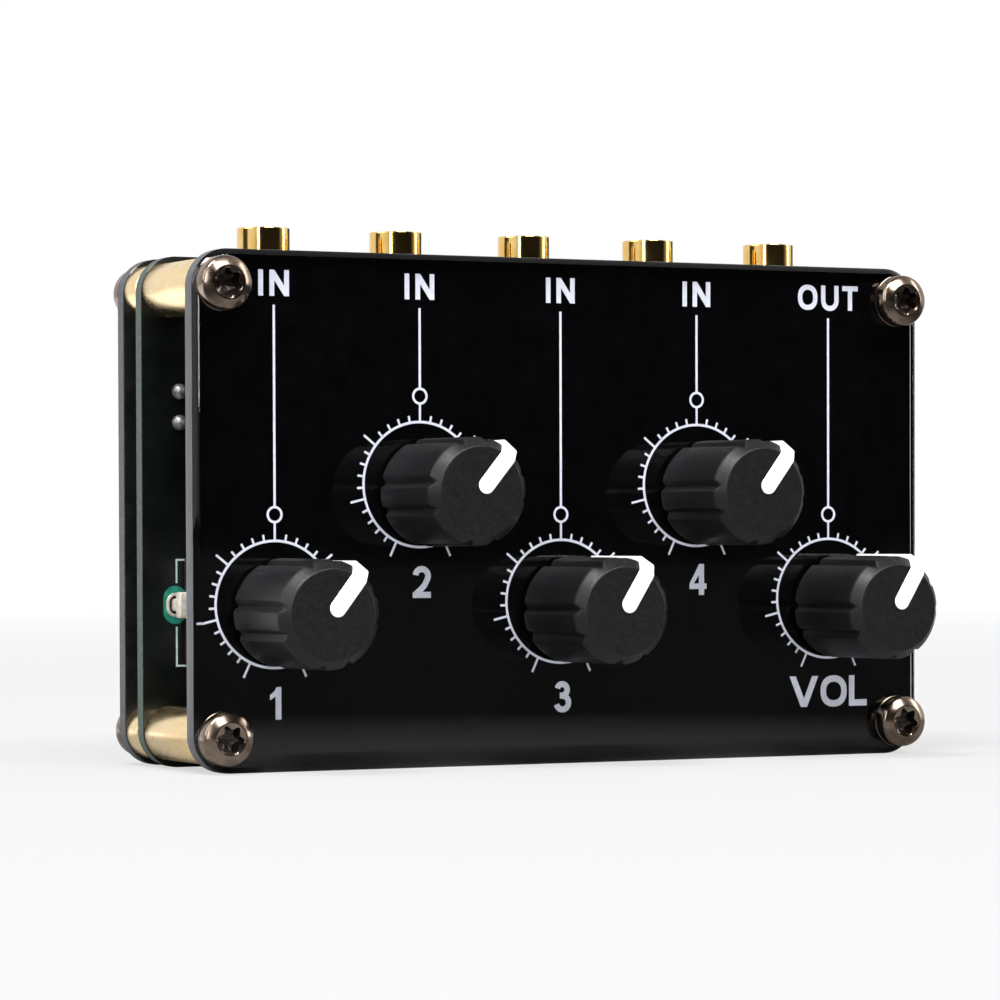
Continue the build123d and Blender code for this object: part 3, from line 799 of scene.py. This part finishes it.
def shaft_mesh(name, x, z):
    """Turned shaft from the wiper carrier to its end inside the knob."""
    carrier = [(0, -10.9), (3.9, -10.9), (4.0, -10.8), (4.0, -10.45), (3.9, -10.35)]
    ring_groove = [(SHAFT_R, -6.2), (2.86, -6.1), (2.86, -5.6), (SHAFT_R, -5.5)]
    profile = carrier + [(SHAFT_R, -10.35)] + ring_groove + [(SHAFT_R, 8.7), (2.7, 9.1), (0, 9.1)]
    shape = Shape()
    shape.lathe(profile, (x, FRONT, z), segments=72, out=-1)
    shape.make(f"shaft_turned_{name}", SHAFT, f"control_{name}", "shaft_metal", [f"shaft_{name}"])


for name, x, z, clock in KNOBS:
    knob_mesh(name, x, z, clock)
    pointer_mesh(name, x, z, clock)
    shaft_mesh(name, x, z)

# ---------------------------------------------------------------- potentiometers behind the panel

for name, x, z, _ in KNOBS:
    low, high = span(f"pot_cover_{name}")
    front = low[1] + 2.0
    cover = Shape()
    cover.box((low[0], front, low[2]), (high[0], high[1] - 0.02, high[2]), 0.5, steps=4)
    cover.lathe([(3.06, 0.25), (3.06, 2.0), (3.12, 2.0), (3.3, 2.0), (3.4, 1.9), (3.4, 0.35), (3.55, 0.12),
                 (4.3, 0.1), (4.36, 0.0), (4.36, -0.3), (3.06, -0.3), (3.06, 0.25)], (x, front, z), out=-1)
    for sx in (-1, 1):
        for sz in (-1, 1):
            tab_x, tab_z = x + sx * 3.1, z + sz * (high[2] - low[2]) / 2
            cover.box((tab_x - 0.7, high[1] - 2.6, tab_z - 0.14),
                      (tab_x + 0.7, high[1] + 0.5, tab_z + 0.14), 0.1)
    cover.make(f"pot_cover_pressed_{name}", TINPLATE, "chassis", "pot_cover_steel", [f"pot_cover_{name}"])
    low, high = span(f"pot_wafer_{name}")
    wafer = Shape()
    wafer.box(low, high, 0.12, steps=2)
    wafer.make(f"pot_wafer_cut_{name}", PHENOLIC, "chassis", "pot_wafer_brown", [f"pot_wafer_{name}"])

# mounting lugs in their plated slots, with the bare ovals and outlines on the board
lug_metal, pads, marks, plating = Shape(), Shape(), Shape(), Shape()
LUG_BACK = BOARD_BACK + 1.2
MARK_HALF, MARK_TURN_IN, MARK_GAP = 0.1, 1.6, 2.35


def mark(x0, z0, x1, z1, front):
    """One straight line of the printed outline."""
    marks.prism([(x0, z0), (x1, z0), (x1, z1), (x0, z1)], front, BOARD_FRONT + 0.03)


for name, x, z, _ in KNOBS:
    for side in (-1, 1):
        lx, lz = x + side * LUG_OUT, z + LUG_RISE
        lo, hi = sorted((x + side * 4.8, lx + side * 0.4))
        lug_metal.box((lo, BOARD_FRONT - 2.3, lz - 1.4), (hi, BOARD_FRONT - 1.1, lz + 1.4), 0.2)
        lug_metal.box((lx - 0.3, BOARD_FRONT - 1.9, lz - 0.68), (lx + 0.38, LUG_BACK, lz + 0.68), 0.2)
        pads.prism(slot_hole(lx, lz, 2.7, 4.1, 20), BOARD_FRONT - 0.03, BOARD_FRONT + 0.05,
                   holes=[slot_hole(lx, lz, LUG_SLOT_W + 0.06, LUG_SLOT_H + 0.06, 20)])
        rings = []
        for k in range(9):
            t = 2 * pi * k / 8
            rings.append([(px, BOARD_FRONT + 0.03 - 0.2 * (1 + cos(t)) / 2, pz)
                          for px, pz in slot_hole(lx, lz, 1.72 + 0.34 * sin(t), 2.24 + 0.34 * sin(t), 20)])
        plating.loft(rings, caps=(False, False))
        mx = x + side * 5.78
        lo, hi = sorted((mx, mx - side * MARK_TURN_IN))
        for near, end in ((lz + MARK_GAP, z + 5.54), (lz - MARK_GAP, z - 5.84)):
            mark(mx - MARK_HALF, min(near, end), mx + MARK_HALF, max(near, end), BOARD_FRONT - 0.02)
            mark(lo - MARK_HALF, end - MARK_HALF, hi + MARK_HALF, end + MARK_HALF, BOARD_FRONT - 0.025)
lug_metal.make("pot_lugs_pressed", TIN_FROSTED, "chassis", "tinned_metal", ["pot_lugs"])
plating.make("slot_plating", TIN_FROSTED, "chassis", "tinned_metal")
pads.make("bare_ovals", PAD_TEAL, "chassis", "board_laminate")
marks.make("board_outlines", SILK, "chassis", "pointer_white")

# soldered joints: concave fillets with the lead's end standing out
joint_profile = [(0, -0.05), (0.98, -0.05), (0.98, 0.02), (0.88, 0.10), (0.66, 0.26), (0.50, 0.46),
                 (0.43, 0.72), (0.40, 0.86), (0.40, 1.10), (0.34, 1.19), (0, 1.2)]


def solder_joints(name, places, node):
    """One soldered joint on the board's back at each place."""
    joints = Shape()
    for x, z in places:
        joints.lathe(joint_profile, (x, BOARD_BACK, z), segments=40)
    joints.make(name, SOLDER, "chassis", "tinned_metal", [node])


jack_pins = []
for label in JACKS:
    low, high = span(f"jack_body_{label}")
    x = (low[0] + high[0]) / 2
    jack_pins += [(x - PIN_PITCH, low[2] + 10.0), (x + PIN_PITCH, low[2] + 10.0), (x, low[2] + 4.5)]
solder_joints("pot_joints", pot_pins, "pot_terminals")
solder_joints("jack_joints", jack_pins, "jack_terminals")

link = Shape()
link_low, link_high = span("ground_link")
link_x = (link_low[0] + link_high[0]) / 2
LINK_FOOT, LINK_HEAD = 37.0, 40.35
LINK_WIRE_R, LINK_SIDES = 0.3, 16
dome = [(0, -0.05), (0.84, -0.05), (0.84, 0.05), (0.82, 0.22), (0.74, 0.46), (0.58, 0.66), (0.42, 0.78),
        (0.33, 0.84), (0.31, 0.95), (0.31, 1.55), (0.25, 1.68), (0, 1.7)]
for z in (LINK_FOOT, LINK_HEAD):
    link.lathe(dome, (link_x, BOARD_FRONT, z), segments=48, out=-1)
path = eased([(BOARD_BACK - 0.4, LINK_FOOT), (BOARD_BACK + 1.2, LINK_FOOT), (BOARD_BACK + 1.2, LINK_HEAD),
              (BOARD_BACK - 0.4, LINK_HEAD)], [0.6, 0.6], 8)
rings = []
for i, (y, z) in enumerate(path):
    a, b = path[max(i - 1, 0)], path[min(i + 1, len(path) - 1)]
    dy, dz = b[0] - a[0], b[1] - a[1]
    size = hypot(dy, dz)
    ring = []
    for k in range(LINK_SIDES):
        t = 2 * pi * k / LINK_SIDES
        out = LINK_WIRE_R * sin(t)
        ring.append((link_x + LINK_WIRE_R * cos(t), y - dz / size * out, z + dy / size * out))
    rings.append(ring)
link.loft(rings)
link.make("wire_link", TIN_DULL, "chassis", "tinned_metal", ["ground_link"])

# ---------------------------------------------------------------- jacks

RIB_PITCH = 2.2666
SLEEVE_R, BORE_DEPTH = 2.85, 12.6
for label in JACKS:
    low, high = span(f"jack_body_{label}")
    f_low, f_high = span(f"jack_ferrule_{label}")
    cx, cy = (f_low[0] + f_high[0]) / 2, (f_low[1] + f_high[1]) / 2
    body = Shape()
    body.box((low[0], low[1], low[2]), (high[0], high[1] - 0.01, high[2] - 0.35), 0.35, steps=4)
    body.box((low[0] + 0.35, low[1] + 0.3, high[2] - 0.9), (high[0] - 0.35, high[1] - 0.4, high[2]), 0.22)
    for k in range(4):
        rib = low[0] + 1.6 + k * RIB_PITCH
        body.box((rib - 0.3, low[1], low[2] + 1.2), (rib + 0.3, low[1] + 0.6, high[2] - 2.6), 0.12)
    body.make(f"jack_case_{label}", MOULDING, "chassis", "jack_plastic", [f"jack_body_{label}"])
    sleeve = Shape()
    top = f_high[2] - f_low[2]
    floor_z = top - BORE_DEPTH
    bore = [(1.62, floor_z), (1.62, top - 4.2), (1.8, top - 4.0), (1.8, top - 0.34), (1.9, top - 0.16),
            (2.06, top - 0.03), (2.2, top)]
    rim = [(2.78, top), (2.83, top - 0.03), (SLEEVE_R, top - 0.08), (SLEEVE_R, top - 0.2),
           (SLEEVE_R, top - 3.2)]
    foot = [(SLEEVE_R, 0), (2.4, 0), (2.4, floor_z - 0.4), (0, floor_z - 0.4)]
    sleeve.lathe([(0, floor_z)] + bore + rim + foot, (cx, cy, f_low[2]), along="z", segments=128)
    sleeve.make(f"jack_sleeve_{label}", GOLD, "chassis", "ferrule_gold", [f"jack_ferrule_{label}"])

# ---------------------------------------------------------------- small parts on the board's back

chips, caps = Shape(), Shape()
chip_low, chip_high = span("mixing_resistors")
z0, z1 = chip_low[2], chip_high[2]
CHIP_OUT = 15.7 / 4
for label in JACKS:
    low, high = span(f"jack_body_{label}")
    for side in (-1, 1):
        x = (low[0] + high[0]) / 2 + side * CHIP_OUT
        chips.box((x - 0.6, BOARD_BACK, z0 + 0.32), (x + 0.6, BOARD_BACK + 0.5, z1 - 0.32), 0.06, steps=2)
        for za, zb in ((z0, z0 + 0.4), (z1 - 0.4, z1)):
            caps.box((x - 0.62, BOARD_BACK, za), (x + 0.62, BOARD_BACK + 0.52, zb), 0.1, steps=2)
chips.make("chip_resistors", GLAZE, "chassis", "resistor_ceramic", ["mixing_resistors"])
caps.make("chip_ends", SOLDER, "chassis", "tinned_metal")

# these two nodes keep their CAD meshes
for node, mat in (("pot_tracks", CARBON), ("jack_contacts", GOLD)):
    thing = frame["nodes"][node]
    if not thing.material_slots:
        thing.data.materials.append(mat)
    for holder in thing.material_slots:
        holder.material = mat

# ---------------------------------------------------------------- stage, light and camera

FLOOR_HALF = 8.0


def paper_floor():
    """Pale sweep: soft grey to other light, an even glow to the camera, and mostly dark in reflections."""
    mat, nodes, links, bsdf = tree("pale_floor")
    bsdf.inputs["Roughness"].default_value = 0.7
    bsdf.inputs["Specular IOR Level"].default_value = 0.15
    grain = noise(nodes, links, (1, 1, 1), 14.0, 3.0)
    grey = blend_colour(nodes, links, grain, (0.50, 0.50, 0.50), (0.53, 0.53, 0.53))
    links.new(grey, bsdf.inputs["Base Color"])
    where = nodes.new("ShaderNodeTexCoord").outputs["Object"]
    reach = nodes.new("ShaderNodeVectorMath")
    reach.operation = "LENGTH"
    links.new(where, reach.inputs[0])
    distance = reach.outputs["Value"]
    ray = nodes.new("ShaderNodeLightPath")

    # the camera sees a glow that grows towards the horizon, over a thin layer that takes the shadow
    glow = nodes.new("ShaderNodeEmission")
    strength = value_range(nodes, links, distance, 0.62, 0.95, 0.15, 1.7, smooth=True)
    links.new(strength, glow.inputs["Strength"])
    thin = nodes.new("ShaderNodeBsdfDiffuse")
    thin.inputs["Color"].default_value = (0.15, 0.15, 0.152, 1)
    sweep = nodes.new("ShaderNodeAddShader")
    links.new(glow.outputs[0], sweep.inputs[0])
    links.new(thin.outputs[0], sweep.inputs[1])
    seen = mixed(nodes, links, ray.outputs["Is Camera Ray"], bsdf.outputs[0], sweep.outputs[0])

    # reflections show it pale beside the object and behind it only
    close = value_range(nodes, links, distance, 0.30, 0.04, 0.05, 0.13)
    behind = value_range(nodes, links, part_of(nodes, links, where, "Y"), 0.0, 0.8, 0.01, 0.08)
    dim = nodes.new("ShaderNodeBsdfDiffuse")
    links.new(combined(nodes, links, "MAXIMUM", close, behind), dim.inputs["Color"])
    shader = mixed(nodes, links, ray.outputs["Is Glossy Ray"], seen, dim.outputs[0])
    links.new(shader, node_of(nodes, "OUTPUT_MATERIAL").inputs["Surface"])
    return mat


floor_mesh = bpy.data.meshes.new("floor")
corners = [(sx * FLOOR_HALF, sy * FLOOR_HALF, 0) for sx, sy in ((-1, -1), (1, -1), (1, 1), (-1, 1))]
floor_mesh.from_pydata(corners, [], [(0, 1, 2, 3)])
floor_mesh.materials.append(paper_floor())
floor = bpy.data.objects.new("floor", floor_mesh)
bpy.context.scene.collection.objects.link(floor)


def softbox(name, place, width, height, power, tint=(1, 1, 1)):
    """Rectangular lamp that faces the middle of the object."""
    light = bpy.data.lights.new(name, "AREA")
    light.shape = "RECTANGLE"
    light.size, light.size_y = width, height
    light.energy = power
    light.color = tint
    holder = bpy.data.objects.new(name, light)
    holder.location = place
    aim = Vector((0.0, 0.0, HEIGHT / 2000)) - Vector(place)
    holder.rotation_euler = aim.to_track_quat("-Z", "Y").to_euler()
    bpy.context.scene.collection.objects.link(holder)


softbox("left_box", (-2.8, 0.25, 1.5), 2.0, 2.0, 32.0)
softbox("top_box", (-1.25, -0.85, 2.6), 1.0, 1.0, 78.0)
softbox("front_box", (0.2, -2.1, 2.2), 1.8, 1.2, 82.0)
softbox("crown_strip", (-1.5, -1.45, 0.75), 0.35, 1.3, 12.0)
softbox("right_strip", (2.7, -0.7, 1.1), 0.42, 2.0, 20.0, (1.0, 0.97, 0.94))

# the studio is white to the camera; for lighting it darkens towards the front, overhead and at two flags
world = bpy.data.worlds.new("studio")
bpy.context.scene.world = world
world.use_nodes = True
nodes, links = world.node_tree.nodes, world.node_tree.links
nodes.clear()
out = nodes.new("ShaderNodeOutputWorld")
way = nodes.new("ShaderNodeTexCoord").outputs["Generated"]
FRONT_TURN = radians(6)
FLAGS = ((-0.94, 0.34, 0.0), (0.88, 0.47, 0.0))
facing = along(nodes, links, way, (sin(FRONT_TURN), -cos(FRONT_TURN), 0.0))
power = value_range(nodes, links, facing, 0.9, 0.012, 0.25, 0.78, smooth=True)
overhead = value_range(nodes, links, part_of(nodes, links, way, "Z"), 1.0, 0.35, 0.55, 0.9)
power = combined(nodes, links, "MULTIPLY", power, overhead)
for flag in FLAGS:
    shade = value_range(nodes, links, along(nodes, links, way, flag), 1.0, 0.04, 0.955, 0.98)
    power = combined(nodes, links, "MULTIPLY", power, shade)
sky = nodes.new("ShaderNodeBackground")
sky.inputs["Color"].default_value = (1, 1, 1, 1)
links.new(power, sky.inputs["Strength"])
backdrop = nodes.new("ShaderNodeBackground")
backdrop.inputs["Color"].default_value = (1, 1, 1, 1)
backdrop.inputs["Strength"].default_value = 1.0
ray = nodes.new("ShaderNodeLightPath")
shader = mixed(nodes, links, ray.outputs["Is Camera Ray"], sky.outputs[0], backdrop.outputs[0])
links.new(shader, out.inputs["Surface"])

LENS_MM, LENS_RISE = 147.53, 0.13727
CAMERA_LEFT, CAMERA_AHEAD, CAMERA_UP = -0.20874, 0.39348, 0.02492
CAMERA_TURN = (1.545691, 0.003014, -0.469995)
camera_data = bpy.data.cameras.new("camera")
camera_data.sensor_width = 36.0
camera_data.lens = LENS_MM
camera_data.shift_y = LENS_RISE
camera_data.clip_start = 0.02
camera = bpy.data.objects.new("camera", camera_data)
camera.location = (CAMERA_LEFT, FRONT / 1000 - CAMERA_AHEAD, CAMERA_UP)
camera.rotation_euler = Euler(CAMERA_TURN, "XYZ")
bpy.context.scene.collection.objects.link(camera)
bpy.context.scene.camera = camera
bpy.context.scene.view_settings.view_transform = "Standard"
